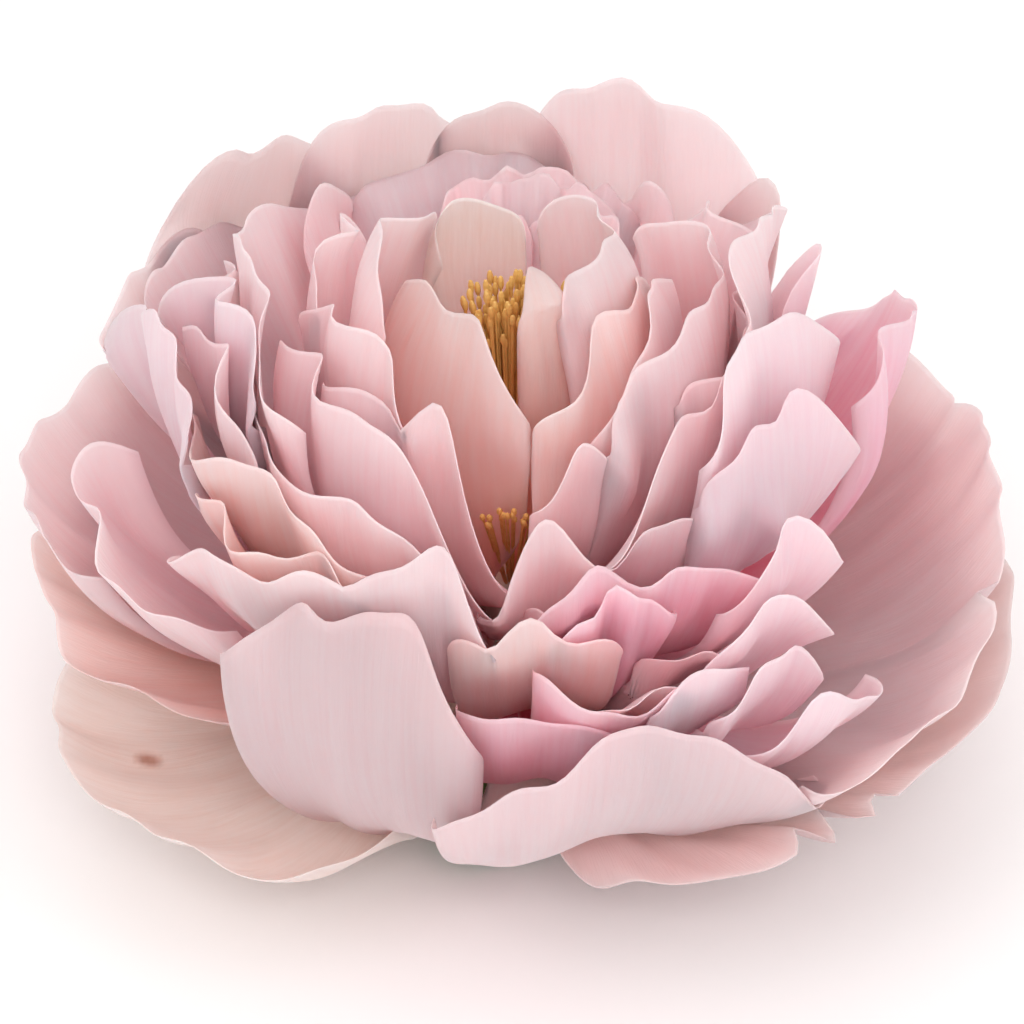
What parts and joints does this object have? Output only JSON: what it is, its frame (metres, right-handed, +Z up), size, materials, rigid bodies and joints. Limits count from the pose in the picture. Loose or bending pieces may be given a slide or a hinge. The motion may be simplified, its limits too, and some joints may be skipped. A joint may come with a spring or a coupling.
{
  "type": "crepe paper peony",
  "caption": "Full pink peony bloom of crepe paper: nested ruffled petals on a tissue ball, wide guard petals below, sepals and a short taped stub.",
  "frame": {"origin": "middle of the taped stub's flat cut end, on the surface the bloom rests on", "axes": "+Z up along the stub towards the middle of the bloom, -Y towards the front of the bloom, +X to its right"},
  "size_m": [0.1626, 0.1671, 0.1035],
  "materials": {
    "pale_crepe": "matte",
    "lilac_crepe": "matte",
    "salmon_crepe": "matte",
    "rose_crepe": "matte",
    "dusky_crepe": "matte",
    "cream_crepe": "matte",
    "golden_fringe": "matte",
    "green_crepe": "matte",
    "stem_tape": "matte",
    "tissue_ball": "matte"
  },
  "bodies": {
    "root": {"core_ball": "tissue_ball", "taped_stub": "stem_tape", "stamen_crown": "golden_fringe", "sepal_1": "green_crepe", "sepal_2": "green_crepe", "sepal_3": "green_crepe", "sepal_4": "green_crepe", "narrow_slip": "pale_crepe", "centre_cone": "salmon_crepe", "hood": "cream_crepe", "upright_back": "pale_crepe", "stamen_strip": "golden_fringe", "upright_cup": "salmon_crepe", "tuft_back": "pale_crepe", "slip_left": "pale_crepe", "grey_left": "pale_crepe", "sweep_inner_left": "pale_crepe", "narrow_front": "pale_crepe", "curled_right_back": "pale_crepe", "back_inner": "pale_crepe", "sweep_left": "pale_crepe", "long_right": "pale_crepe", "inner_left_back": "pale_crepe", "broad_right_back": "pale_crepe", "broad_right": "lilac_crepe", "scallop_front": "pale_crepe", "ruffled_left": "pale_crepe", "side_left_high": "lilac_crepe", "cup_left_back": "pale_crepe", "broad_right_low": "lilac_crepe", "pink_front": "rose_crepe", "inner_pink_left": "salmon_crepe", "curl_front": "rose_crepe", "small_left_back": "dusky_crepe", "back_right_point": "dusky_crepe", "side_left": "lilac_crepe", "hollow_right": "rose_crepe", "small_right": "lilac_crepe", "lobe_left": "pale_crepe", "front_wide": "pale_crepe", "front_fold": "pale_crepe", "point_right": "lilac_crepe", "claw_cup": "rose_crepe", "round_lobe_right": "lilac_crepe", "loop_right": "lilac_crepe", "pink_cup_low": "rose_crepe", "finger_right": "lilac_crepe", "guard_back_dark": "dusky_crepe", "guard_back_high": "pale_crepe", "guard_back_left": "dusky_crepe", "guard_left_back": "dusky_crepe", "guard_left_far": "pale_crepe", "guard_right": "dusky_crepe", "guard_left": "salmon_crepe", "guard_front_left": "pale_crepe", "guard_front_right": "pale_crepe", "guard_low_back_right": "dusky_crepe", "guard_low_back_left": "dusky_crepe", "guard_low_right": "dusky_crepe", "guard_low_left": "cream_crepe"}
  },
  "joints": []
}
